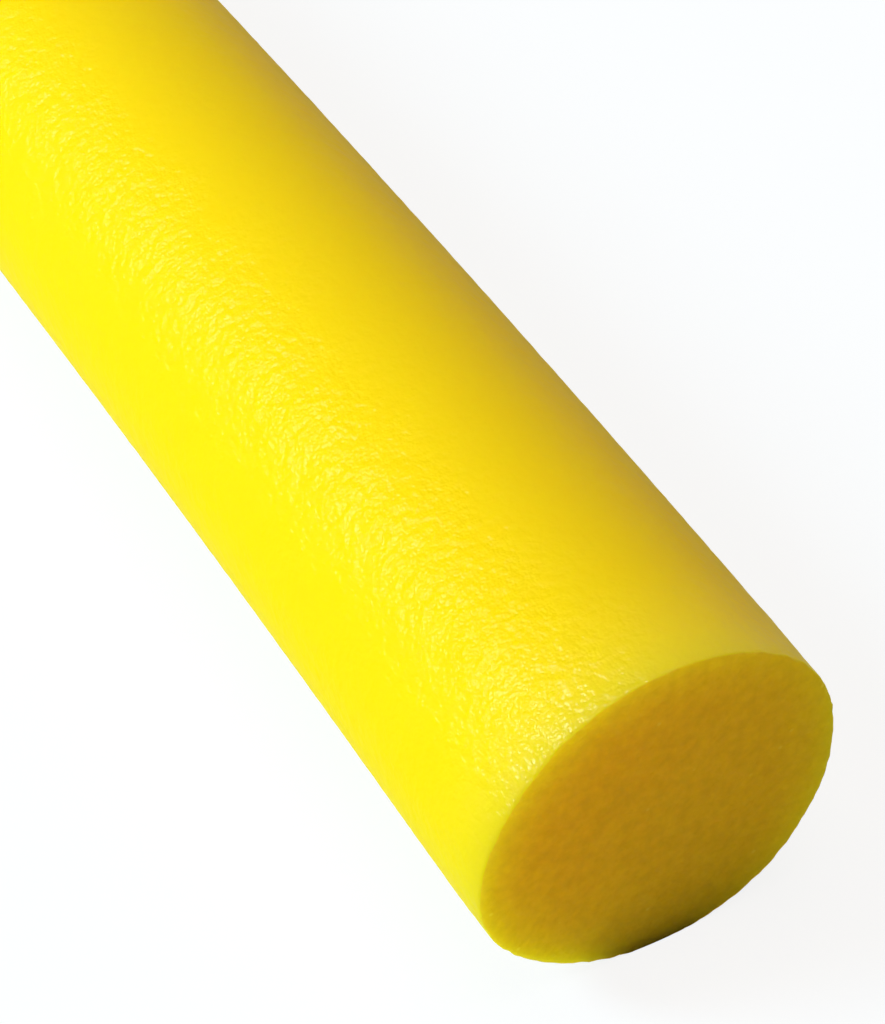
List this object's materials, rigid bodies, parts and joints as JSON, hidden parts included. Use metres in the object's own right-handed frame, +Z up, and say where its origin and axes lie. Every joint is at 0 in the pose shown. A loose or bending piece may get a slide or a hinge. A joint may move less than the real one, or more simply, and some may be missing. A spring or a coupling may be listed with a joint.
{
  "type": "pool noodle",
  "caption": "Solid round foam pool noodle, a long flexible float with square-cut ends and a gentle bow along its length.",
  "frame": {"origin": "on the floor, under the middle of the bounding box of the noodle as it lies", "axes": "+X along the noodle towards the cut end that the picture shows, +Y towards the side on which the middle bows out, +Z up"},
  "size_m": [1.5042, 0.1148, 0.065],
  "materials": {
    "yellow_foam": "closed-cell polyethylene foam in bright yellow: a satin, finely wrinkled skin on the round side, and matt open-cut cells on both ends"
  },
  "bodies": {
    "root": {"foam_noodle": "yellow_foam"}
  },
  "joints": []
}
